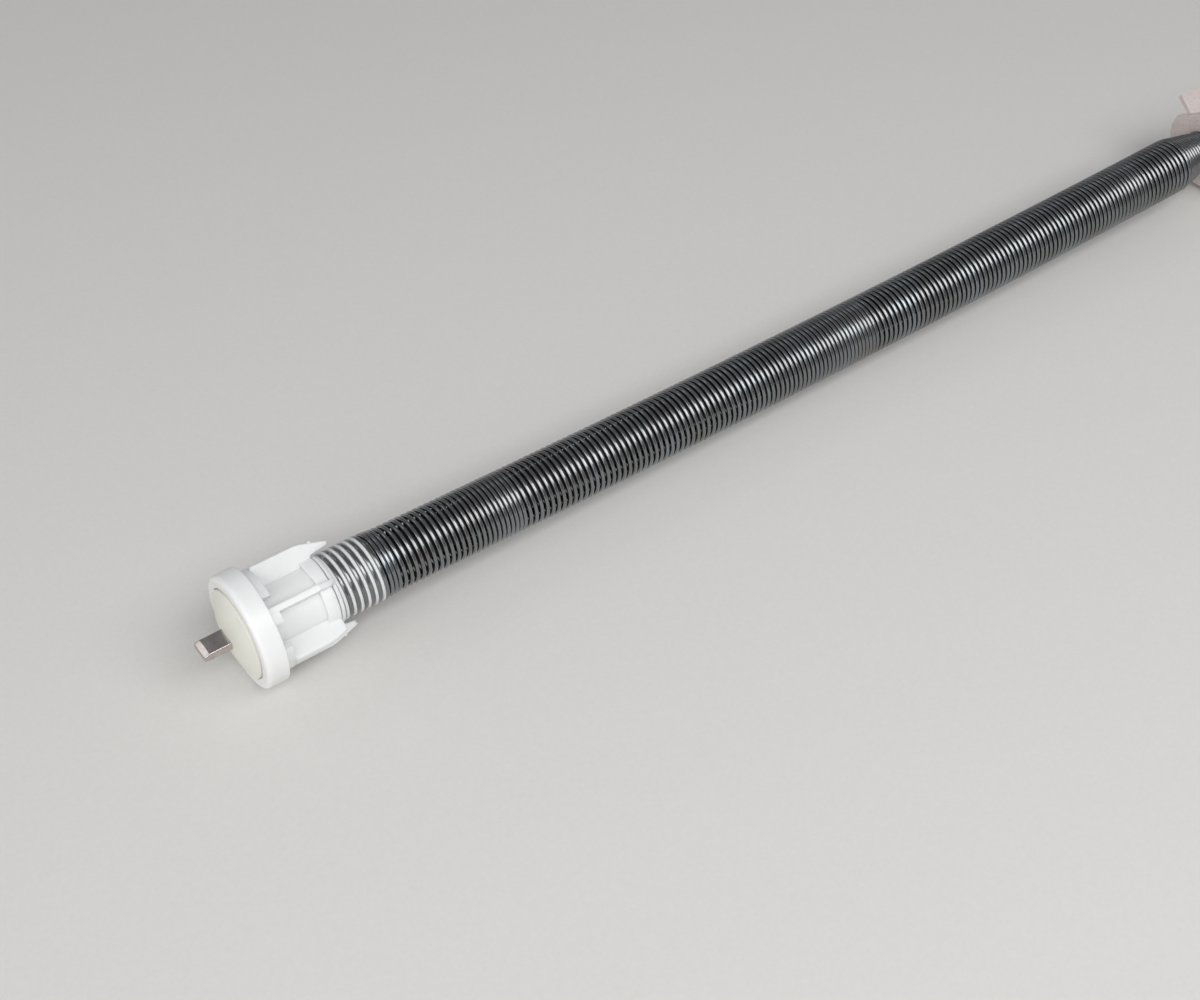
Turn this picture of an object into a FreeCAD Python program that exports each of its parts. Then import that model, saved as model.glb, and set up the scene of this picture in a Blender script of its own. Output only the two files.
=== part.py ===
import FreeCAD, Part
import math
import os
from FreeCAD import Base

V = FreeCAD.Vector

# Spring unit of a roller blind, in millimetres, +Z up.
# The unit's axis lies along +X, from the drive pin to the far plug.
# The origin is on the axis, in the flange's rear face, which seats on the end of the blind's tube.
# Angles about the axis are in degrees, from +Y towards +Z.

# The blind's tube, which the unit slides into
tube_outside = 32.0
tube_bore = 29.0

# Crown: flange, pocket, core and rear band
crown_turn = 34.8
flange_length = 6.2
flange_front_round = 1.3
flange_edge_round = 0.3
pocket_floor = 1.0
crown_length = 18.6
core_radius = 8.5
band_radius = 9.8
band_length = 3.4
grip_clearance = 0.1

# Crown: broken collar behind the flange
collar_length = 2.7
collar_step = 0.45
collar_wall = 1.6
collar_long_arc = (134.0, 254.0)
collar_short_arc = (90.0, 105.0)

# Crown: fins in pairs, one of each pair with a finger that reaches over the spool, and single ribs between
fin_pair_half_angle = 22.5
fin_edge_round = 0.25
fin_front_round = 0.6
fin_bend_round = 10.0
finger_thickness = 1.8
finger_bend = 16.2
finger_reach = 5.5
finger_nose_radius = 12.0
finger_nose_round = 0.7
finger_lip_radius = 11.05
finger_lip_round = 0.4
finger_root_radius = 10.35
finger_root_round = 0.8
nub_reach = 3.7
nub_radius = 0.45
nub_width = 1.1
side_fin_thickness = 1.6
side_fin_bend = 13.8
side_fin_setback = 0.3
side_fin_drop = 1.35
side_fin_corner = 0.8
rib_thickness = 1.6
rib_bevel_length = 4.1
rib_bevel_depth = 1.5
rib_corner = 0.4

# Hub: disc, ratchet, journal and stem
disc_radius = 12.5
disc_gap = 0.25
disc_thickness = 2.8
disc_stand_out = 0.5
disc_edge_round = 0.3
dome_height = 2.5
ratchet_reach = 3.6
ratchet_notches = 4
ratchet_end_gap = 0.1
journal_radius = 5.95
journal_clearance = 0.05
stem_side = 8.0
stem_length = 8.4
stem_corner = 0.5

# Blade pin
blade_width = 5.9
blade_thickness = 2.5
blade_reach = 7.7
blade_hold = 17.2
blade_edge = 0.3
blade_bevel_length = 1.7
blade_bevel_depth = 0.5
blade_clearance = 0.03

# Pawls, on posts of the crown
pawl_swing = 10.0
pawl_eye_gap = 0.75
pawl_eye_radius = 1.8
pawl_post_radius = 1.1
pawl_post_clearance = 0.05
pawl_front_gap = 0.2
pawl_rear_gap = 0.3
pawl_bite = 1.075
pawl_tip_angle = 11.7
pawl_heel_length = 3.3
pawl_back_rise = 0.35
pawl_back_angle = 39.7
pawl_belly_drop = 2.9
pawl_belly_angle = 52.0
pawl_corner = 0.4
notch_depth_gap = 0.325
notch_step_gap = 4.0

# Spool that the first turns of the spring are screwed on
spool_gap = 0.3
spool_ring_radius = 9.6
spool_ring_length = 1.0
spool_length = 14.5
spool_edge_round = 0.25
spool_whole_turns = 5
spool_part_turn = 0.75
spool_wall = 2.5
spool_counterbore = 5.2
socket_clearance = 0.05
thread_side_gap = 0.11
thread_draft = 0.05
thread_height = 1.145
thread_turns = 5.55
thread_lead = 0.9
spool_spring_gap = 0.1

# Spool's screw and washer
screw_radius = 1.5
screw_length = 16.0
screw_head_radius = 3.0
screw_head_height = 2.0
screw_head_round = 1.2
screw_point = 1.0
screw_tip_radius = 0.6
cross_length = 3.4
cross_width = 0.9
cross_depth = 1.1
pilot_clearance = 0.05
screw_hole_clearance = 0.1
washer_radius = 3.5
washer_thickness = 0.8

# Main spring
wire_diameter = 1.25
spring_length = 332.2
spring_hand = 1
spring_start_angle = -14.0
spool_pitch = 2.17
spring_spool_radius = 8.78
spring_free_radius = 8.43
spring_end_radius = 5.8
free_pitch = 1.84
closed_gap = 0.06
closed_turns = 3
taper_turns = 9
taper_gap = 0.15
end_gap = 0.07
end_turns = 2
spring_end_gap = 0.3

# Where the coils close up bit by bit and then open again: end of the run, its length, how far it closes
closing_runs = (
    (75.6, 27.3, 1.0),
    (201.5, 51.5, 0.95),
    (315.1, 24.4, 0.5),
)

# Far plug
plug_neck_length = 13.1
plug_neck_gap = 0.15
plug_neck_round = 1.0
plug_disc_radius = 14.2
plug_disc_thickness = 2.3
plug_disc_round = 0.5
plug_flat_distance = 11.45
plug_flat_angle = 57.0
plug_body_radius = 8.0
plug_body_length = 13.6
plug_body_round = 0.5
plug_wall = 2.0
upper_wing_angle = 37.0
lower_wing_angle = 50.0
wing_radius = 19.0
wing_length = 11.6
wing_thickness = 1.4
wing_corner = 3.0

# Places and radii that follow from the sizes above
origin = V(0, 0, 0)
axis = V(1, 0, 0)
flange_radius = tube_outside / 2
grip_radius = tube_bore / 2 - grip_clearance
collar_radius = grip_radius - collar_step
pocket_radius = disc_radius + disc_gap
pawl_pivot_radius = pocket_radius - pawl_eye_radius - pawl_eye_gap
pawl_back_radius = pawl_pivot_radius + pawl_back_rise
pawl_belly_radius = pawl_pivot_radius - pawl_belly_drop
ratchet_radius = pawl_pivot_radius - ratchet_reach
bore_radius = journal_radius + journal_clearance
disc_front = -flange_length - disc_stand_out
dome_top = disc_front - dome_height
disc_rear = disc_front + disc_thickness
ratchet_rear = -pocket_floor - ratchet_end_gap
pawl_front = disc_rear + pawl_front_gap
pawl_rear = -pocket_floor - pawl_rear_gap
spool_front = crown_length + spool_gap
stem_rear = spool_front + stem_length
spool_ring_rear = spool_front + spool_ring_length
spool_rear = spool_front + spool_length
spool_web_front = stem_rear + socket_clearance
washer_front = spool_web_front + spool_wall
screw_seat = washer_front + washer_thickness
wire_radius = wire_diameter / 2
closed_pitch = wire_diameter + closed_gap
taper_pitch = wire_diameter + taper_gap
end_pitch = wire_diameter + end_gap
thread_crest_width = spool_pitch - wire_diameter - 2 * thread_side_gap
thread_root_width = thread_crest_width + 2 * thread_draft
spool_core_radius = spring_spool_radius - wire_radius - spool_spring_gap
spring_start = spool_ring_rear + spool_spring_gap + wire_radius
plug_disc_front = spool_ring_rear + spring_length
spring_end = plug_disc_front - spring_end_gap - wire_radius
plug_disc_rear = plug_disc_front + plug_disc_thickness
plug_neck_radius = spring_end_radius - wire_radius - plug_neck_gap
overlap = 0.5


def polar(radius, angle):
    """Point in the plane at a radius and an angle in degrees."""
    return V(radius * math.cos(math.radians(angle)), radius * math.sin(math.radians(angle)), 0)


def rounded_face(corners):
    """Flat face through corners (point, radius), each corner rounded by its radius."""
    count = len(corners)
    spans = []
    for i in range(count):
        here, radius = corners[i]
        towards_last = (corners[i - 1][0] - here).normalize()
        towards_next = (corners[(i + 1) % count][0] - here).normalize()
        half = towards_last.getAngle(towards_next) / 2
        if radius == 0:
            spans.append((here, None, here))
            continue
        run = radius / math.tan(half)
        middle = (towards_last + towards_next).normalize() * (radius / math.sin(half) - radius)
        spans.append((here + towards_last * run, here + middle, here + towards_next * run))
    edges = []
    for i in range(count):
        begin, middle, end = spans[i]
        if middle is not None:
            edges.append(Part.Arc(begin, middle, end).toShape())
        next_begin = spans[(i + 1) % count][0]
        edges.append(Part.LineSegment(end, next_begin).toShape())
    return Part.Face(Part.Wire(edges))


def sharp(*points):
    """Corners with no rounding, from points (u, v)."""
    return [(V(u, v, 0), 0) for u, v in points]


def turned(corners, start=0.0, sweep=360.0):
    """Outline of (x, radius) corners turned about the axis, from one angle over a sweep."""
    face = rounded_face(corners)
    face.rotate(origin, axis, start)
    return face.revolve(origin, axis, sweep)


def slab(corners, x_from, x_to):
    """Outline of (y, z) corners pushed along the axis."""
    face = rounded_face(corners)
    face.rotate(origin, V(1, 1, 1), 120)
    face.translate(V(x_from, 0, 0))
    return face.extrude(V(x_to - x_from, 0, 0))


def fin(corners, thickness, angle):
    """Radial plate: outline of (x, radius) corners, its thickness centred on an angle."""
    face = rounded_face(corners)
    face.translate(V(0, 0, -thickness / 2))
    plate = face.extrude(V(0, 0, thickness))
    plate.rotate(origin, axis, angle)
    return plate


def rectangle(width, height, corner):
    """Centred rectangle with rounded corners."""
    y = width / 2
    z = height / 2
    return [(V(-y, -z, 0), corner), (V(y, -z, 0), corner), (V(y, z, 0), corner), (V(-y, z, 0), corner)]


def rod(radius, x_from, x_to, y=0.0, z=0.0):
    """Round rod along the axis."""
    return Part.makeCylinder(radius, x_to - x_from, V(x_from, y, z), axis)


def crown_body():
    """Flange with its front pocket, core and rear band, turned in one."""
    front = -flange_length
    band_front = crown_length - band_length
    return turned([
        (V(front, pocket_radius, 0), flange_edge_round),
        (V(front, flange_radius, 0), flange_front_round),
        (V(0, flange_radius, 0), flange_edge_round),
        (V(0, core_radius, 0), 0),
        (V(band_front, core_radius, 0), 0),
        (V(band_front, band_radius, 0), flange_edge_round),
        (V(crown_length, band_radius, 0), flange_edge_round),
        (V(crown_length, bore_radius, 0), 0),
        (V(-pocket_floor, bore_radius, 0), 0),
        (V(-pocket_floor, pocket_radius, 0), 0),
    ])


def collar_piece(arc):
    """One arc of the low collar behind the flange."""
    inside = collar_radius - collar_wall
    corners = sharp((-overlap, inside), (-overlap, collar_radius), (collar_length, collar_radius),
                    (collar_length, inside))
    return turned(corners, arc[0], arc[1] - arc[0])


def softened(plate, radius):
    """Plate with its long outer edges rounded, clear of its root and of the collar."""
    edges = []
    for edge in plate.Edges:
        box = edge.BoundBox
        along = box.ZLength < radius
        if along and box.YMin > band_radius and box.XMin > collar_length - radius:
            edges.append(edge)
    return plate.makeFillet(radius, edges)


def crown_fin(corners, thickness, angle):
    """Radial plate of the crown with softened outer edges."""
    plate = softened(fin(corners, thickness, 0), fin_edge_round)
    plate.rotate(origin, axis, angle)
    return plate


def fin_front():
    """Corners at a fin's front: its root runs into the collar and its top starts behind it."""
    return [
        (V(collar_length - overlap, core_radius - overlap, 0), 0),
        (V(collar_length - overlap, collar_radius - overlap, 0), 0),
        (V(collar_length, collar_radius - overlap, 0), 0),
        (V(collar_length, grip_radius, 0), fin_front_round),
    ]


def finger_back():
    """Ends of the sloped line along the finger's back: where it bends from the fin, and its nose."""
    return V(finger_bend, grip_radius, 0), V(crown_length + finger_reach, finger_nose_radius, 0)


def finger_fin(angle):
    """Fin that bends inwards behind the crown into a tapered finger."""
    bend, nose = finger_back()
    corners = fin_front() + [
        (bend, fin_bend_round),
        (nose, finger_nose_round),
        (V(nose.x, finger_lip_radius, 0), finger_lip_round),
        (V(crown_length, finger_root_radius, 0), finger_root_round),
        (V(crown_length, core_radius - overlap, 0), 0),
    ]
    return crown_fin(corners, finger_thickness, angle)


def finger_nub(angle):
    """Small round nub across the finger's back, which snaps past the tube's edge."""
    bend, nose = finger_back()
    middle = bend + (nose - bend).normalize() * nub_reach
    nub = Part.makeCylinder(nub_radius, nub_width, middle - V(0, 0, nub_width / 2), V(0, 0, 1))
    nub.rotate(origin, axis, angle)
    return nub


def side_fin(angle):
    """Plain fin beside the one with the finger, sloped towards its rear corner."""
    rear = crown_length - side_fin_setback
    corners = fin_front() + [
        (V(side_fin_bend, grip_radius, 0), fin_bend_round),
        (V(rear, grip_radius - side_fin_drop, 0), side_fin_corner),
        (V(rear, core_radius - overlap, 0), 0),
    ]
    return crown_fin(corners, side_fin_thickness, angle)


def crown_rib(angle):
    """Single rib from the flange to the crown's rear, bevelled there."""
    inside = core_radius - overlap
    corners = [
        (V(-overlap, inside, 0), 0),
        (V(-overlap, grip_radius, 0), 0),
        (V(crown_length - rib_bevel_length, grip_radius, 0), 0),
        (V(crown_length, grip_radius - rib_bevel_depth, 0), rib_corner),
        (V(crown_length, inside, 0), 0),
    ]
    return crown_fin(corners, rib_thickness, angle)


def crown():
    """White end piece that turns with the tube."""
    pieces = []
    for half in (0, 180):
        pieces.append(finger_fin(half + fin_pair_half_angle))
        pieces.append(finger_nub(half + fin_pair_half_angle))
        pieces.append(side_fin(half - fin_pair_half_angle))
        pieces.append(crown_rib(half + 90))
        for arc in (collar_long_arc, collar_short_arc):
            pieces.append(collar_piece((arc[0] + half, arc[1] + half)))
        post = rod(pawl_post_radius, pawl_front, overlap - pocket_floor, z=pawl_pivot_radius)
        post.rotate(origin, axis, half)
        pieces.append(post)
    shape = crown_body().multiFuse(pieces).removeSplitter()
    shape.rotate(origin, axis, crown_turn)
    return shape


def notch():
    """Ratchet notch: a flat floor under the pawl's tip and a radial step that the tip stops on."""
    floor_distance = ratchet_radius - pawl_bite - notch_depth_gap
    step_angle = pawl_tip_angle - notch_step_gap
    opening = math.degrees(math.acos(floor_distance / ratchet_radius))
    far_angle = pawl_tip_angle + opening + notch_step_gap
    start = polar(floor_distance / math.cos(math.radians(notch_step_gap)), step_angle)
    outer = polar(ratchet_radius + floor_distance, step_angle)
    far = polar(floor_distance / math.cos(math.radians(opening + notch_step_gap)), far_angle)
    corners = [(start, 0), (outer, 0), (far, 0)]
    return slab(corners, disc_rear, ratchet_rear)


def hub():
    """Cream domed disc with the ratchet, the journal that the crown turns on and a square stem."""
    shape = turned([
        (V(disc_front, 0, 0), 0),
        (V(disc_front, disc_radius, 0), disc_edge_round),
        (V(disc_rear, disc_radius, 0), disc_edge_round),
        (V(disc_rear, ratchet_radius, 0), 0),
        (V(ratchet_rear, ratchet_radius, 0), 0),
        (V(ratchet_rear, journal_radius, 0), 0),
        (V(spool_front, journal_radius, 0), 0),
        (V(spool_front, 0, 0), 0),
    ])
    shape = shape.fuse(slab(rectangle(stem_side, stem_side, stem_corner), crown_length - overlap, stem_rear))
    dome_base = disc_radius - disc_edge_round
    dome_radius = (dome_base ** 2 + dome_height ** 2) / (2 * dome_height)
    ball = Part.makeSphere(dome_radius, V(dome_top + dome_radius, 0, 0))
    shape = shape.fuse(ball.common(rod(disc_radius, dome_top - overlap, disc_front)))
    for i in range(ratchet_notches):
        cutter = notch()
        cutter.rotate(origin, axis, crown_turn + i * 360 / ratchet_notches)
        shape = shape.cut(cutter)
    play = 2 * blade_clearance
    slot = rectangle(blade_width + play, blade_thickness + play, blade_edge + blade_clearance)
    shape = shape.cut(slab(slot, dome_top - overlap, dome_top + blade_hold + blade_clearance))
    pilot = rod(screw_radius + pilot_clearance, screw_seat - screw_length - overlap, stem_rear + overlap)
    return shape.cut(pilot).removeSplitter()


def blade_pin():
    """Flat pin with rounded long edges and a tip bevelled on both wide faces."""
    tip = dome_top - blade_reach
    shape = slab(rectangle(blade_width, blade_thickness, blade_edge), tip, dome_top + blade_hold)
    half = blade_thickness / 2
    for side in (-1, 1):
        wedge = rounded_face(sharp((tip - overlap, side * (half + overlap)), (tip - overlap, side * 0),
                                   (tip, side * (half - blade_bevel_depth)),
                                   (tip + blade_bevel_length, side * half),
                                   (tip + blade_bevel_length, side * (half + overlap))))
        wedge.rotate(origin, axis, 90)
        wedge.translate(V(0, blade_width, 0))
        shape = shape.cut(wedge.extrude(V(0, -2 * blade_width, 0)))
    return shape


def tangent_point(point, centre, radius, side):
    """Where a line from a point touches a circle, on one side."""
    reach = point - centre
    spread = math.degrees(math.acos(radius / reach.Length))
    angle = math.degrees(math.atan2(reach.y, reach.x)) + side * spread
    return centre + polar(radius, angle)


def pawl(half):
    """Loose pawl on its post, swung out clear of the ratchet."""
    pivot = V(0, pawl_pivot_radius, 0)
    tip_radius = ratchet_radius - pawl_bite
    tip = polar(tip_radius, pawl_tip_angle)
    heel = polar(tip_radius + pawl_heel_length, pawl_tip_angle)
    back = polar(pawl_back_radius, pawl_back_angle)
    belly = polar(pawl_belly_radius, pawl_belly_angle)
    arm = slab([
        (tangent_point(back, pivot, pawl_eye_radius, 1), 0),
        (back, pawl_corner),
        (heel, pawl_corner),
        (tip, 0),
        (belly, pawl_corner),
        (tangent_point(belly, pivot, pawl_eye_radius, -1), 0),
        (pivot, 0),
    ], pawl_front, pawl_rear)
    shape = arm.fuse(rod(pawl_eye_radius, pawl_front, pawl_rear, z=pawl_pivot_radius))
    hole_radius = pawl_post_radius + pawl_post_clearance
    shape = shape.cut(rod(hole_radius, pawl_front - overlap, pawl_rear + overlap, z=pawl_pivot_radius))
    shape = shape.removeSplitter()
    shape.rotate(V(0, 0, pawl_pivot_radius), axis, pawl_swing)
    shape.rotate(origin, axis, crown_turn + half)
    return shape


def helix_turn(x, pitch, radius, end_radius, turns=1):
    """One or more turns of a helix about Z, on a cylinder or on a cone."""
    if end_radius == radius:
        wall = Part.Cylinder()
    else:
        wall = Part.Cone()
        wall.SemiAngle = math.atan2(end_radius - radius, pitch)
    wall.Radius = radius
    wall.Center = V(0, 0, x)
    rise = turns * math.hypot(pitch, end_radius - radius)
    angle = turns * spring_hand * 2 * math.pi
    line = Part.Geom2d.Line2dSegment(Base.Vector2d(0, 0), Base.Vector2d(angle, rise))
    return line.toShape(wall)


def swept(turns, section, start_angle):
    """Solid swept along turns of a helix, laid along the axis and started at an angle."""
    shape = Part.Wire(turns).makePipeShell([section], True, True)
    shape.rotate(origin, V(0, 1, 0), 90)
    shape.rotate(origin, axis, start_angle + 90)
    return shape


def free_pitch_at(x):
    """Pitch of the free coils, which close up along each run and then spring open again."""
    for end, run, share in closing_runs:
        if end - run <= x < end:
            done = (x - end + run) / run
            return free_pitch - (free_pitch - closed_pitch) * share * done
    return free_pitch


def spring_turns():
    """Turns of the spring from the spool to the far plug."""
    turns = []
    x = spring_start
    for part in [1] * spool_whole_turns + [spool_part_turn]:
        turns.append(helix_turn(x, spool_pitch, spring_spool_radius, spring_spool_radius, part))
        x += part * spool_pitch
    shrink = (spring_spool_radius - spring_free_radius) / closed_turns
    for i in range(closed_turns):
        start_radius = spring_spool_radius - i * shrink
        last_radius = spring_spool_radius - (i + 1) * shrink
        turns.append(helix_turn(x, closed_pitch, start_radius, last_radius))
        x += closed_pitch
    end_start = spring_end - end_turns * end_pitch
    taper_start = end_start - taper_turns * taper_pitch
    while x < taper_start:
        pitch = free_pitch_at(x)
        turns.append(helix_turn(x, pitch, spring_free_radius, spring_free_radius))
        x += pitch
    shrink = (spring_free_radius - spring_end_radius) / taper_turns
    pitch = (end_start - x) / taper_turns
    for i in range(taper_turns):
        start_radius = spring_free_radius - i * shrink
        last_radius = spring_free_radius - (i + 1) * shrink
        turns.append(helix_turn(x, pitch, start_radius, last_radius))
        x += pitch
    for i in range(end_turns):
        turns.append(helix_turn(x, end_pitch, spring_end_radius, spring_end_radius))
        x += end_pitch
    for turn in turns[spool_whole_turns + 1:]:
        turn.rotate(origin, V(0, 0, 1), spring_hand * spool_part_turn * 360)
    print("turns in the spring:", len(turns))
    return turns


def main_spring():
    """Torsion spring of round wire; its section is four quarter arcs."""
    circle = Part.Circle(V(spring_spool_radius, 0, spring_start), V(0, 1, 0), wire_radius)
    quarter = math.pi / 2
    arcs = [Part.ArcOfCircle(circle, i * quarter, (i + 1) * quarter).toShape() for i in range(4)]
    return swept(spring_turns(), Part.Wire(arcs), spring_start_angle)


def spool_thread():
    """Low thread between the coils that grip the spool; it starts ahead of the wire's end."""
    start = spring_start + spool_pitch * (1 / 2 - thread_lead)
    helix = helix_turn(start, spool_pitch, spool_core_radius, spool_core_radius, thread_turns)
    root = thread_root_width / 2
    crest = thread_crest_width / 2
    points = [
        V(spool_core_radius - overlap, 0, start - root),
        V(spool_core_radius, 0, start - root),
        V(spool_core_radius + thread_height, 0, start - crest),
        V(spool_core_radius + thread_height, 0, start + crest),
        V(spool_core_radius, 0, start + root),
        V(spool_core_radius - overlap, 0, start + root),
    ]
    lead_angle = spring_hand * thread_lead * 360
    return swept([helix], Part.makePolygon(points + points[:1]), spring_start_angle - lead_angle)


def spool():
    """White spool, fixed on the hub's stem, with a ring that the first coil rests against."""
    shape = turned([
        (V(spool_front, 0, 0), 0),
        (V(spool_front, spool_ring_radius, 0), spool_edge_round),
        (V(spool_ring_rear, spool_ring_radius, 0), spool_edge_round),
        (V(spool_ring_rear, spool_core_radius, 0), 0),
        (V(spool_rear, spool_core_radius, 0), spool_edge_round),
        (V(spool_rear, 0, 0), 0),
    ])
    shape = shape.fuse(spool_thread())
    play = 2 * socket_clearance
    socket = rectangle(stem_side + play, stem_side + play, stem_corner)
    shape = shape.cut(slab(socket, spool_front - overlap, spool_web_front))
    shape = shape.cut(rod(screw_radius + screw_hole_clearance, spool_front, spool_rear))
    return shape.cut(rod(spool_counterbore, washer_front, spool_rear + overlap))


def spool_washer():
    """Flat washer under the screw's head."""
    inside = screw_radius + screw_hole_clearance
    return turned(sharp((washer_front, inside), (washer_front, washer_radius),
                        (screw_seat, washer_radius), (screw_seat, inside)))


def spool_screw():
    """Pan-head screw with a cross recess; its thread is left plain."""
    tip = screw_seat - screw_length
    top = screw_seat + screw_head_height
    shape = turned([
        (V(tip, 0, 0), 0),
        (V(tip, screw_tip_radius, 0), 0),
        (V(tip + screw_point, screw_radius, 0), 0),
        (V(screw_seat, screw_radius, 0), 0),
        (V(screw_seat, screw_head_radius, 0), 0),
        (V(top, screw_head_radius, 0), screw_head_round),
        (V(top, 0, 0), 0),
    ])
    for width, height in ((cross_length, cross_width), (cross_width, cross_length)):
        shape = shape.cut(slab(rectangle(width, height, 0), top - cross_depth, top + overlap))
    return shape


def far_plug():
    """Plug in the spring's far end: neck, disc with a flat, hollow body and four sprung wings."""
    neck_front = plug_disc_front - plug_neck_length
    rear = plug_disc_rear + plug_body_length
    neck_bore = plug_neck_radius - plug_wall
    body_bore = plug_body_radius - plug_wall
    shape = turned([
        (V(neck_front, 0, 0), 0),
        (V(neck_front, plug_neck_radius, 0), plug_neck_round),
        (V(plug_disc_front, plug_neck_radius, 0), 0),
        (V(plug_disc_front, plug_disc_radius, 0), plug_disc_round),
        (V(plug_disc_rear, plug_disc_radius, 0), plug_disc_round),
        (V(plug_disc_rear, plug_body_radius, 0), 0),
        (V(rear, plug_body_radius, 0), plug_body_round),
        (V(rear, body_bore, 0), 0),
        (V(plug_disc_rear, body_bore, 0), 0),
        (V(plug_disc_rear, neck_bore, 0), 0),
        (V(neck_front + plug_wall, neck_bore, 0), 0),
        (V(neck_front + plug_wall, 0, 0), 0),
    ])
    flat = slab(rectangle(plug_disc_radius, 2 * plug_disc_radius, 0),
                plug_disc_front - overlap, plug_disc_rear + overlap)
    flat.translate(V(0, plug_flat_distance + plug_disc_radius / 2, 0))
    flat.rotate(origin, axis, plug_flat_angle)
    shape = shape.cut(flat)
    root = (plug_body_radius + body_bore) / 2
    front = plug_disc_rear - overlap
    end = plug_disc_rear + wing_length
    corners = sharp((front, root), (front, wing_radius), (end, wing_radius), (end, root))
    corners[2] = (corners[2][0], wing_corner)
    pieces = []
    for angle in (upper_wing_angle, 180 - upper_wing_angle, 180 + lower_wing_angle, -lower_wing_angle):
        pieces.append(fin(corners, wing_thickness, angle))
    return shape.multiFuse(pieces).removeSplitter()


nodes = {
    "crown": crown(),
    "hub": hub(),
    "blade_pin": blade_pin(),
    "pawl_a": pawl(0),
    "pawl_b": pawl(180),
    "spool": spool(),
    "spool_washer": spool_washer(),
    "spool_screw": spool_screw(),
    "main_spring": main_spring(),
    "far_plug": far_plug(),
}
os.makedirs("parts", exist_ok=True)
for name, shape in nodes.items():
    box = shape.BoundBox
    print(name, "valid" if shape.isValid() else "INVALID", "solids", len(shape.Solids),
          "volume", round(shape.Volume, 1), "x", round(box.XMin, 2), round(box.XMax, 2),
          "z", round(box.ZMin, 2), round(box.ZMax, 2))
    shape.exportStep("parts/" + name + ".step")
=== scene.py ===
import math
import bpy
import numpy as np
from mathutils import Matrix, Vector


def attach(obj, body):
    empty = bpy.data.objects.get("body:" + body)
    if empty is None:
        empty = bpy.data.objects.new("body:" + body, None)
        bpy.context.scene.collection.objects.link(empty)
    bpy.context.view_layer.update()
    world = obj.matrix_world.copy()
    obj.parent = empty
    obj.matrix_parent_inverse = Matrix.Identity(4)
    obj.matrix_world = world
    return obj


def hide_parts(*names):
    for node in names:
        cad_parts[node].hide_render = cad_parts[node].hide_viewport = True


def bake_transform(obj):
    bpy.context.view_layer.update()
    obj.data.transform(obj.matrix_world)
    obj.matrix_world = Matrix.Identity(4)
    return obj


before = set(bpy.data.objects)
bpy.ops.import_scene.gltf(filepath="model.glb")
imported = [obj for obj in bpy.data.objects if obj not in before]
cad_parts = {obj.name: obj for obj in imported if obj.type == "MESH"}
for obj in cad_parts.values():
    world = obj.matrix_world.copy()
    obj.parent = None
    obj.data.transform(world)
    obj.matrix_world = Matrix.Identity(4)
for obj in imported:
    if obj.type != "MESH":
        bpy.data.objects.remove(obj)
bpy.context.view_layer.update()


# Blade pin.
# A flat bar of drawn steel, bright plated, pressed through the hub.
# Its long edges are rounded by the drawing and its tip is bevelled on both wide faces.
mm = 0.001
pin_width, pin_thickness, pin_edge = 5.9 * mm, 2.5 * mm, 0.36 * mm
pin_tip, pin_end = -16.9 * mm, 8.0 * mm
bevel_length, bevel_depth, bevel_steps = 1.7 * mm, 0.5 * mm, 8
bevel_start = bevel_depth * 0.9
tip_round = 0.16 * mm


def outline(width, thickness, edge, steps=6):
    """Points of a rounded rectangle, going once round it."""
    points = []
    for quarter in range(4):
        middle = math.radians(45 + 90 * quarter)
        y = math.copysign(width / 2 - edge, math.cos(middle))
        z = math.copysign(thickness / 2 - edge, math.sin(middle))
        for step in range(steps + 1):
            angle = math.radians(90 * quarter + 90 * step / steps)
            points.append((y + edge * math.cos(angle), z + edge * math.sin(angle)))
    return points


def skinned(name, rings, joined=False):
    """A mesh through rings of equal count, closed at its ends or joined from the last ring to the first."""
    count = len(rings[0])
    points = [point for ring in rings for point in ring]
    faces = []
    for ring in range(len(rings) if joined else len(rings) - 1):
        for k in range(count):
            a, b = ring * count + k, ring * count + (k + 1) % count
            faces.append((a, b, (b + count) % len(points), (a + count) % len(points)))
    if not joined:
        faces.append(tuple(range(count))[::-1])
        faces.append(tuple((len(rings) - 1) * count + k for k in range(count)))
    mesh = bpy.data.meshes.new(name)
    mesh.from_pydata(points, [], faces)
    mesh.update()
    thing = bpy.data.objects.new(name, mesh)
    bpy.context.scene.collection.objects.link(thing)
    return thing


def smooth(thing, angle):
    """Shades a mesh smooth, apart from edges sharper than the angle."""
    thing.data.shade_smooth()
    thing.data.set_sharp_from_angle(angle=math.radians(angle))


rings = []
stations = [(0.0, tip_round, bevel_depth), (tip_round, 0.0, bevel_start)]
for step in range(1, bevel_steps + 1):
    share = step / bevel_steps
    stations.append((tip_round + (bevel_length - tip_round) * share, 0.0, bevel_start * (1 - share)))
for along, inset, down in stations:
    ring = outline(pin_width - 2 * inset, pin_thickness - 2 * inset - 2 * down, pin_edge)
    rings.append([(pin_tip + along, y, z) for y, z in ring])
for share in (0.25, 0.5, 0.75, 1.0):
    x = pin_tip + bevel_length + (pin_end - pin_tip - bevel_length) * share
    rings.append([(x, y, z) for y, z in outline(pin_width, pin_thickness, pin_edge)])
pin = skinned("blade_pin_plated", rings)
smooth(pin, angle=24)


def material(name):
    """A new node material, with its node tree, its shader and the place on the object."""
    made = bpy.data.materials.new(name)
    made.use_nodes = True
    tree = made.node_tree
    shader = tree.nodes["Principled BSDF"]
    place = tree.nodes.new("ShaderNodeTexCoord").outputs["Object"]
    return made, tree, shader, place


def stretched(tree, place, scale):
    """The place coordinates scaled along each axis."""
    node = tree.nodes.new("ShaderNodeMapping")
    node.inputs["Scale"].default_value = scale
    tree.links.new(place, node.inputs["Vector"])
    return node.outputs["Vector"]


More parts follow.
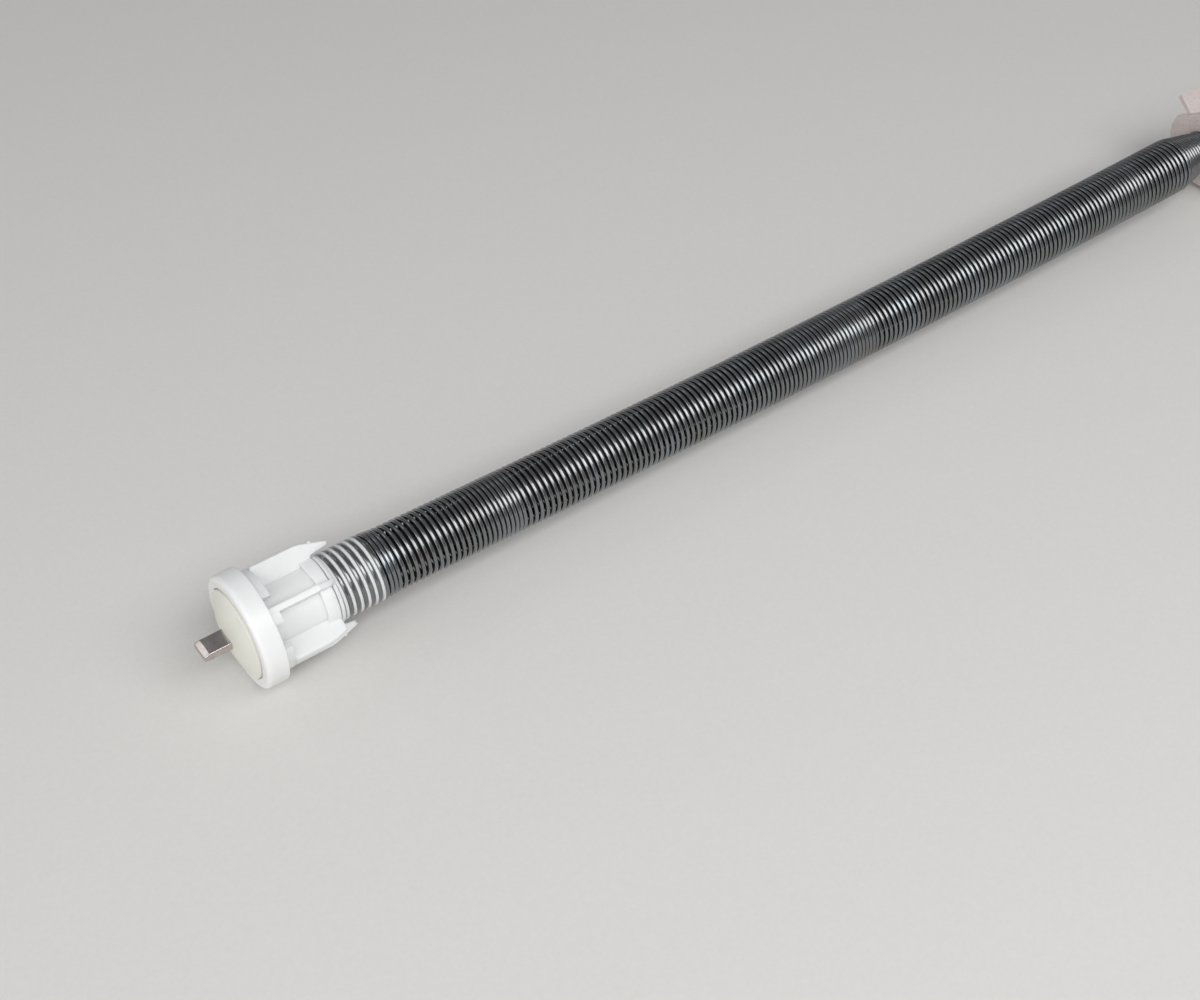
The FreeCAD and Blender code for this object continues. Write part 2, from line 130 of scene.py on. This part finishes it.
def noise(tree, place, scale, detail=3.0, rough=0.55):
    """A noise value from 0 to 1."""
    node = tree.nodes.new("ShaderNodeTexNoise")
    node.inputs["Scale"].default_value = scale
    node.inputs["Detail"].default_value = detail
    node.inputs["Roughness"].default_value = rough
    tree.links.new(place, node.inputs["Vector"])
    return node.outputs["Fac"]


def ramp(tree, value, *stops):
    """A colour for a value, through stops of (position, colour)."""
    node = tree.nodes.new("ShaderNodeValToRGB")
    band = node.color_ramp
    while len(band.elements) < len(stops):
        band.elements.new(0.5)
    for element, (position, colour) in zip(band.elements, stops):
        element.position = position
        element.color = (*colour, 1.0)
    tree.links.new(value, node.inputs["Fac"])
    return node.outputs["Color"]


def ranged(tree, value, low, high, start=0.3, end=0.7):
    """A value taken from the range start to end and put in the range low to high."""
    node = tree.nodes.new("ShaderNodeMapRange")
    for socket, number in (("From Min", start), ("From Max", end), ("To Min", low), ("To Max", high)):
        node.inputs[socket].default_value = number
    tree.links.new(value, node.inputs["Value"])
    return node.outputs["Result"]


def bump(tree, value, depth, strength=1.0, under=None):
    """A bump of a depth in metres, on top of another one if there is one."""
    node = tree.nodes.new("ShaderNodeBump")
    node.inputs["Distance"].default_value = depth
    node.inputs["Strength"].default_value = strength
    tree.links.new(value, node.inputs["Height"])
    if under:
        tree.links.new(under, node.inputs["Normal"])
    return node.outputs["Normal"]


plate, tree, shader, place = material("bright_plate")
drawn = noise(tree, stretched(tree, place, (60, 2400, 2400)), scale=1.0, detail=4.0, rough=0.6)
clouds = noise(tree, place, scale=260, detail=4.0, rough=0.6)
tree.links.new(ramp(tree, clouds, (0.3, (0.46, 0.40, 0.37)), (0.55, (0.56, 0.51, 0.48)),
                    (0.75, (0.64, 0.605, 0.58))), shader.inputs["Base Color"])
tree.links.new(ranged(tree, drawn, low=0.13, high=0.24), shader.inputs["Roughness"])
tree.links.new(bump(tree, drawn, depth=0.000006, strength=0.5), shader.inputs["Normal"])
shader.inputs["Metallic"].default_value = 1.0
pin.data.materials.append(plate)
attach(pin, "stator")
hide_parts("blade_pin")


# Hub.
# A cream moulding: the domed disc that shows in the flange, with a square stem behind it.
# It stands still with the pin while the crown turns round it.
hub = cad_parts["hub"]
cream, tree, shader, place = material("cream_plastic")
clouds = noise(tree, place, scale=110, detail=4.0, rough=0.55)
grain = noise(tree, place, scale=2600, detail=2.0, rough=0.5)
tree.links.new(ramp(tree, clouds, (0.3, (0.775, 0.775, 0.685)), (0.7, (0.81, 0.815, 0.745))),
               shader.inputs["Base Color"])
tree.links.new(ranged(tree, grain, low=0.36, high=0.5), shader.inputs["Roughness"])
swirl = bump(tree, clouds, depth=0.00012, strength=0.25)
tree.links.new(bump(tree, grain, depth=0.000012, strength=0.5, under=swirl), shader.inputs["Normal"])
shader.inputs["Subsurface Weight"].default_value = 0.12
shader.inputs["Subsurface Radius"].default_value = (1.0, 0.8, 0.5)
shader.inputs["Subsurface Scale"].default_value = 0.0008


def dress(node, finish):
    """Puts one material on every slot of a node's mesh."""
    slots = node.data.materials
    if not slots:
        slots.append(finish)
    for k in range(len(slots)):
        slots[k] = finish


dress(hub, cream)


# Pawls.
# Two loose plastic pawls between the hub disc and the crown.
# Each lies on a moulded post of the crown and swings into the hub's notches.
white, tree, shader, place = material("white_plastic")
clouds = noise(tree, place, scale=95, detail=4.0, rough=0.55)
grain = noise(tree, place, scale=2400, detail=2.0, rough=0.5)
flow = noise(tree, stretched(tree, place, (1.0, 2.2, 2.2)), scale=240, detail=3.0, rough=0.6)
# The white is painted a little darker close to the axis, fading out between 8.4 and 11.5 mm from it:
# painted shade on the core between the fins, and on the spool.
split = tree.nodes.new("ShaderNodeVectorMath")
split.operation = "MULTIPLY"
split.inputs[1].default_value = (0.0, 1.0, 1.0)
tree.links.new(place, split.inputs[0])
reach = tree.nodes.new("ShaderNodeVectorMath")
reach.operation = "LENGTH"
tree.links.new(split.outputs["Vector"], reach.inputs[0])
painted_shade_fade = ranged(tree, reach.outputs["Value"], low=0.0, high=0.6, start=8.4 * mm, end=11.5 * mm)
tone_and_painted_shade = tree.nodes.new("ShaderNodeMath")
tone_and_painted_shade.operation = "MULTIPLY_ADD"
tone_and_painted_shade.inputs[1].default_value = 0.5
tree.links.new(clouds, tone_and_painted_shade.inputs[0])
tree.links.new(painted_shade_fade, tone_and_painted_shade.inputs[2])
tree.links.new(ramp(tree, tone_and_painted_shade.outputs["Value"], (0.1, (0.83, 0.83, 0.815)), (0.45, (0.85, 0.855, 0.85)),
                    (1.0, (0.865, 0.87, 0.86))), shader.inputs["Base Color"])
tree.links.new(ranged(tree, grain, low=0.32, high=0.46), shader.inputs["Roughness"])
swirl = bump(tree, flow, depth=0.00010, strength=0.25)
tree.links.new(bump(tree, grain, depth=0.000010, strength=0.5, under=swirl), shader.inputs["Normal"])
shader.inputs["Subsurface Weight"].default_value = 0.6
shader.inputs["Subsurface Radius"].default_value = (1.0, 0.98, 0.95)
shader.inputs["Subsurface Scale"].default_value = 0.0026
dress(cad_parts["pawl_a"], white)
dress(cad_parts["pawl_b"], white)


# Crown.
# The white moulding that closes the tube and turns with it.
# A rounded flange, a broken collar and six fins round a core, all in one shot of plastic.
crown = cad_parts["crown"]
dress(crown, white)


# Spool.
# The white neck on the hub's stem. Its thread has the pitch of the spring, so that the first coils
# screw on and hold by themselves, and its crest stands almost level with the wire between them.
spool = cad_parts["spool"]
dress(spool, white)
start_x, start_angle = 20.625 * mm, -14.0
spool_pitch = 2.17 * mm
thread_start, thread_turns, thread_steps = -0.9, 5.55, 400
thread_section = ((8.2, 0.40), (8.9, 0.42), (9.28, 0.40), (9.36, 0.30),
                  (9.36, -0.30), (9.28, -0.40), (8.9, -0.42), (8.2, -0.40))
rings = []
for step in range(thread_steps + 1):
    turns = thread_start + thread_turns * step / thread_steps
    x = start_x + spool_pitch * (turns + 0.5)
    angle = math.radians(start_angle) + 2 * math.pi * turns
    rings.append([(x + beside * mm, r * mm * math.cos(angle), r * mm * math.sin(angle))
                  for r, beside in thread_section])
thread = skinned("spool_thread_crest", rings)
smooth(thread, angle=40)
thread.data.materials.append(white)
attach(thread, "stator")


# Washer and screw.
# Zinc plated steel, inside the spool's recess. They hold the spool on the stem.
zinc, tree, shader, place = material("zinc_steel")
spangle = noise(tree, place, scale=900, detail=3.0, rough=0.6)
tree.links.new(ramp(tree, spangle, (0.3, (0.56, 0.57, 0.60)), (0.7, (0.72, 0.73, 0.75))),
               shader.inputs["Base Color"])
tree.links.new(ranged(tree, spangle, low=0.26, high=0.44), shader.inputs["Roughness"])
tree.links.new(bump(tree, spangle, depth=0.00002, strength=0.4), shader.inputs["Normal"])
shader.inputs["Metallic"].default_value = 1.0
dress(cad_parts["spool_washer"], zinc)
dress(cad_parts["spool_screw"], zinc)


# Far plug.
# A pale translucent moulding pushed into the last coils, with a thin disc and four wings
# that grip the inside of the tube.
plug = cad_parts["far_plug"]
pale, tree, shader, place = material("pale_plastic")
clouds = noise(tree, place, scale=130, detail=4.0, rough=0.55)
grain = noise(tree, place, scale=1800, detail=2.0, rough=0.5)
tree.links.new(ramp(tree, clouds, (0.3, (0.76, 0.665, 0.635)), (0.7, (0.83, 0.75, 0.72))),
               shader.inputs["Base Color"])
tree.links.new(ranged(tree, grain, low=0.26, high=0.40), shader.inputs["Roughness"])
swirl = bump(tree, clouds, depth=0.00012, strength=0.3)
tree.links.new(bump(tree, grain, depth=0.000012, strength=0.5, under=swirl), shader.inputs["Normal"])
shader.inputs["Subsurface Weight"].default_value = 0.35
shader.inputs["Subsurface Radius"].default_value = (1.0, 0.85, 0.7)
shader.inputs["Subsurface Scale"].default_value = 0.002
shader.inputs["Transmission Weight"].default_value = 0.30
shader.inputs["IOR"].default_value = 1.47
dress(plug, pale)


# Core tube.
# A dark thin steel tube inside the spring, which the slack coils lie on, so that they hardly hang.
# It stands on the end of the plug's neck, and its near end turns in the spool's recess.
core_near, core_far = 30.2 * mm, 338.95 * mm
core_outside, core_inside, core_edge = 5.0 * mm, 4.3 * mm, 0.2 * mm
core_sides = 64
between = [core_near + (core_far - core_near) * share for share in (0.2, 0.4, 0.6, 0.8)]
profile = [(core_near, core_inside), (core_near, core_outside - core_edge),
           (core_near + core_edge, core_outside)]
profile += [(x, core_outside) for x in between]
profile += [(core_far - core_edge, core_outside), (core_far, core_outside - core_edge),
            (core_far, core_inside)]
profile += [(x, core_inside) for x in reversed(between)]
rings = []
for x, r in profile:
    angles = [2 * math.pi * k / core_sides for k in range(core_sides)]
    rings.append([(x, r * math.cos(angle), r * math.sin(angle)) for angle in angles])
core = skinned("core_tube", rings, joined=True)
smooth(core, angle=35)
dark, tree, shader, place = material("core_steel_and_painted_shade")
rolled = noise(tree, stretched(tree, place, (40, 900, 900)), scale=1.0, detail=3.0, rough=0.6)
stain = noise(tree, place, scale=120, detail=4.0, rough=0.6)
# The near-black colour is partly painted shade inside the coil: through the gaps between the coils it shows
# dark.
tree.links.new(ramp(tree, stain, (0.3, (0.030, 0.026, 0.023)), (0.7, (0.055, 0.046, 0.040))),
               shader.inputs["Base Color"])
tree.links.new(ranged(tree, rolled, low=0.45, high=0.6), shader.inputs["Roughness"])
tree.links.new(bump(tree, rolled, depth=0.00001, strength=0.4), shader.inputs["Normal"])
shader.inputs["Metallic"].default_value = 0.7
core.data.materials.append(dark)
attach(core, "far_plug")


# Main spring.
# One oiled dark steel wire, wound on a mandrel in bands of changing pitch. Its first coils are screwed
# on the spool, its last are drawn in on the plug's neck, and its slack middle lies on the core tube.
wire = 1.27 * mm
spool_turns, spool_radius = 5.75, 8.78 * mm
closed_turns, closed_pitch = 3, 1.31 * mm
free_pitch, free_radius = 1.84 * mm, 8.43 * mm
# Where each run of coils that closes up ends, how long it is, and how far it closes.
closing_runs = ((75.6 * mm, 27.3 * mm, 1.0), (201.5 * mm, 51.5 * mm, 0.95), (315.1 * mm, 24.4 * mm, 0.5))
taper_turns, taper_start, taper_end = 9, 335.935 * mm, 348.535 * mm
end_turns, end_pitch, end_radius = 2, 1.32 * mm, 5.8 * mm
steps_per_turn = 36
# Points round the wire, closer together on its outer side, which shows.
around = np.radians([-100, -80, -60, -40, -20, 0, 20, 40, 60, 80, 100, 140, 180, 220])
sides = len(around)
sag, sag_start, sag_end = 2.6 * mm, 34.0 * mm, 345.0 * mm


def pitch_at(x):
    """The pitch of the free coils at a place along the spring."""
    for end, run, share in closing_runs:
        done = (x - end + run) / run
        if 0 <= done <= 1:
            return free_pitch - (free_pitch - closed_pitch) * share * done
    return free_pitch


runs = [(1.0, spool_pitch, spool_radius, spool_radius)] * int(spool_turns)
runs.append((spool_turns % 1, spool_pitch, spool_radius, spool_radius))
for turn in range(closed_turns):
    wide = [spool_radius + (free_radius - spool_radius) * (turn + side) / closed_turns for side in (0, 1)]
    runs.append((1.0, closed_pitch, *wide))
x = start_x + spool_turns * spool_pitch + closed_turns * closed_pitch
while x + pitch_at(x) / 2 < taper_start:
    runs.append((1.0, pitch_at(x), free_radius, free_radius))
    x += pitch_at(x)
taper_pitch = (taper_end - x) / taper_turns
for turn in range(taper_turns):
    wide = [free_radius + (end_radius - free_radius) * (turn + side) / taper_turns for side in (0, 1)]
    runs.append((1.0, taper_pitch, *wide))
runs += [(1.0, end_pitch, end_radius, end_radius)] * end_turns

along, radius, angle = [start_x], [spool_radius], [math.radians(start_angle)]
for turns, pitch, wide, narrow in runs:
    steps = round(steps_per_turn * turns)
    first_x, first_angle = along[-1], angle[-1]
    for step in range(1, steps + 1):
        share = step / steps
        along.append(first_x + pitch * turns * share)
        radius.append(wide + (narrow - wide) * share)
        angle.append(first_angle + 2 * math.pi * turns * share)
along, radius, angle = np.array(along), np.array(radius), np.array(angle)
outward = np.stack([np.zeros_like(angle), np.cos(angle), np.sin(angle)], axis=1)
line = outward * radius[:, None]
line[:, 0] = along
share = np.clip((along - sag_start) / (sag_end - sag_start), 0, 1)
line[:, 2] -= sag * 4 * share * (1 - share)
ahead = np.gradient(line, axis=0)
ahead /= np.linalg.norm(ahead, axis=1)[:, None]
outward -= ahead * np.sum(outward * ahead, axis=1)[:, None]
outward /= np.linalg.norm(outward, axis=1)[:, None]
across = np.cross(ahead, outward)
points = (line[:, None, :] + wire / 2 * (np.cos(around)[None, :, None] * outward[:, None, :]
                                         + np.sin(around)[None, :, None] * across[:, None, :]))
count = len(line)
ring, k = np.meshgrid(np.arange(count - 1), np.arange(sides), indexing="ij")
after = (k + 1) % sides
quads = np.stack([ring * sides + k, ring * sides + after, (ring + 1) * sides + after,
                  (ring + 1) * sides + k], axis=-1).reshape(-1, 4)
mesh = bpy.data.meshes.new("main_spring_wire")
faces = quads.tolist() + [list(range(sides))[::-1], [(count - 1) * sides + j for j in range(sides)]]
mesh.from_pydata(points.reshape(-1, 3).tolist(), [], faces)
travel = np.concatenate([[0.0], np.cumsum(np.linalg.norm(np.diff(line, axis=0), axis=1))])
layer = mesh.uv_layers.new(name="along_wire")
spread = np.zeros((len(mesh.loops), 2))
spread[:quads.size, 0] = travel[np.stack([ring, ring, ring + 1, ring + 1], axis=-1)].reshape(-1)
wrapped = np.append(around, around[0] + 2 * math.pi) / math.pi
spread[:quads.size, 1] = wrapped[np.stack([k, k + 1, k + 1, k], axis=-1)].reshape(-1)
layer.data.foreach_set("uv", spread.reshape(-1))
mesh.update()
spring = bpy.data.objects.new("main_spring_wire", mesh)
bpy.context.scene.collection.objects.link(spring)
smooth(spring, angle=50)

steel, tree, shader, place = material("spring_steel")
on_wire = tree.nodes.new("ShaderNodeUVMap")
on_wire.uv_map = "along_wire"
drawn = noise(tree, stretched(tree, on_wire.outputs["UV"], (90, 10, 1)), scale=1.0, detail=3.0, rough=0.6)
oil = noise(tree, place, scale=85, detail=4.0, rough=0.6)
bare = ramp(tree, oil, (0.3, (0.195, 0.190, 0.188)), (0.5, (0.228, 0.236, 0.242)),
            (0.72, (0.272, 0.296, 0.312)))
# The wire's inner side and its flanks towards the next coils are painted almost black and made rougher:
# painted shade between the coils and inside the coil.
parts = tree.nodes.new("ShaderNodeSeparateXYZ")
tree.links.new(on_wire.outputs["UV"], parts.inputs["Vector"])
inward = tree.nodes.new("ShaderNodeMath")
inward.operation = "ABSOLUTE"
tree.links.new(parts.outputs["Y"], inward.inputs[0])
painted_gap_shade = ranged(tree, inward.outputs["Value"], low=0.0, high=1.0, start=0.36, end=0.54)
coloured = tree.nodes.new("ShaderNodeMix")
coloured.data_type = "RGBA"
coloured.inputs["B"].default_value = (0.010, 0.009, 0.008, 1.0)
tree.links.new(painted_gap_shade, coloured.inputs["Factor"])
tree.links.new(bare, coloured.inputs["A"])
tree.links.new(coloured.outputs["Result"], shader.inputs["Base Color"])
dull = tree.nodes.new("ShaderNodeMath")
dull.operation = "MULTIPLY_ADD"
dull.inputs[1].default_value = 0.4
tree.links.new(painted_gap_shade, dull.inputs[0])
tree.links.new(ranged(tree, drawn, low=0.18, high=0.27), dull.inputs[2])
tree.links.new(dull.outputs["Value"], shader.inputs["Roughness"])
tree.links.new(bump(tree, drawn, depth=0.000006, strength=0.35), shader.inputs["Normal"])
shader.inputs["Metallic"].default_value = 1.0
shader.inputs["Coat Weight"].default_value = 0.25
shader.inputs["Coat Roughness"].default_value = 0.16
spring.data.materials.append(steel)
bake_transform(spring)
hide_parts("main_spring")


# Floor.
# A plain pale sheet under the part. Far from the lamps it glows a little, so that it stays pale there.
# Only the camera and reflections see the glow, so it puts no light on the part.
floor_height, floor_size = -16.0 * mm, 40.0
sheet = bpy.data.meshes.new("floor")
sheet.from_pydata([(x * floor_size, y * floor_size, floor_height)
                   for x, y in ((-1, -1), (1, -1), (1, 1), (-1, 1))], [], [(0, 1, 2, 3)])
floor = bpy.data.objects.new("floor", sheet)
bpy.context.scene.collection.objects.link(floor)
paper, tree, shader, place = material("pale_floor")
fibres = noise(tree, place, scale=900, detail=3.0, rough=0.6)
tree.links.new(ramp(tree, fibres, (0.3, (0.69, 0.675, 0.65)), (0.7, (0.715, 0.70, 0.675))),
               shader.inputs["Base Color"])
shader.inputs["Roughness"].default_value = 0.75
away = tree.nodes.new("ShaderNodeVectorMath")
away.operation = "LENGTH"
tree.links.new(place, away.inputs[0])
shader.inputs["Emission Color"].default_value = (1.0, 0.985, 0.96, 1.0)
ray = tree.nodes.new("ShaderNodeLightPath")
mirrored = tree.nodes.new("ShaderNodeMath")
mirrored.operation = "MAXIMUM"
tree.links.new(ray.outputs["Is Glossy Ray"], mirrored.inputs[0])
tree.links.new(ray.outputs["Is Transmission Ray"], mirrored.inputs[1])
seen = tree.nodes.new("ShaderNodeMath")
seen.operation = "MAXIMUM"
tree.links.new(ray.outputs["Is Camera Ray"], seen.inputs[0])
tree.links.new(mirrored.outputs["Value"], seen.inputs[1])
glow = tree.nodes.new("ShaderNodeMath")
glow.operation = "MULTIPLY"
tree.links.new(seen.outputs["Value"], glow.inputs[0])
tree.links.new(ranged(tree, away.outputs["Value"], low=0.0, high=0.35, start=0.5, end=1.7),
               glow.inputs[1])
tree.links.new(glow.outputs["Value"], shader.inputs["Emission Strength"])
floor.data.materials.append(paper)


# Light.
# A long soft lamp above the near side, in line with the part, a wide one beyond the pin, a small card
# behind the part that shows in the pin's bevel, and an even grey room.
scene = bpy.context.scene
middle = Vector((0.12, 0.0, 0.0))


def lamp(name, place, length, width, power, colour):
    """A soft rectangular lamp that faces the part."""
    data = bpy.data.lights.new(name, "AREA")
    data.shape = "RECTANGLE"
    data.size = length
    data.size_y = width
    data.energy = power
    data.color = colour
    thing = bpy.data.objects.new(name, data)
    thing.location = place
    thing.rotation_mode = "QUATERNION"
    thing.rotation_quaternion = (middle - Vector(place)).to_track_quat("-Z", "Y")
    scene.collection.objects.link(thing)


lamp("overhead_lamp", place=(0.12, -0.58, 0.76), length=1.3, width=0.50, power=6.9,
     colour=(0.985, 0.995, 1.0))
lamp("far_card", place=(-0.27, 0.62, 0.75), length=0.30, width=0.30, power=0.36,
     colour=(0.96, 0.97, 1.0))
lamp("side_lamp", place=(-1.25, -0.55, 0.75), length=1.2, width=1.2, power=10.2,
     colour=(1.0, 0.985, 0.965))
world = bpy.data.worlds.new("studio")
world.use_nodes = True
world.node_tree.nodes["Background"].inputs["Color"].default_value = (0.93, 0.95, 1.0, 1.0)
world.node_tree.nodes["Background"].inputs["Strength"].default_value = 0.26
scene.world = world
scene.view_settings.view_transform = "Standard"


# Camera.
# It stands where the photograph was taken from, looking down along the part.
camera_place = (-106.5 * mm, -297.9 * mm, 361.75 * mm)
to_right = Vector((0.81326, -0.58191, 0.0))
upward = Vector((0.41958, 0.58640, 0.69289))
backward = to_right.cross(upward)
camera = bpy.data.objects.new("camera", bpy.data.cameras.new("camera"))
camera.data.sensor_width = 36.0
camera.data.lens = 55.62
camera.data.clip_start = 0.01
turned = Matrix((to_right, upward, backward)).transposed().to_4x4()
camera.matrix_world = Matrix.Translation(camera_place) @ turned
scene.collection.objects.link(camera)
scene.camera = camera
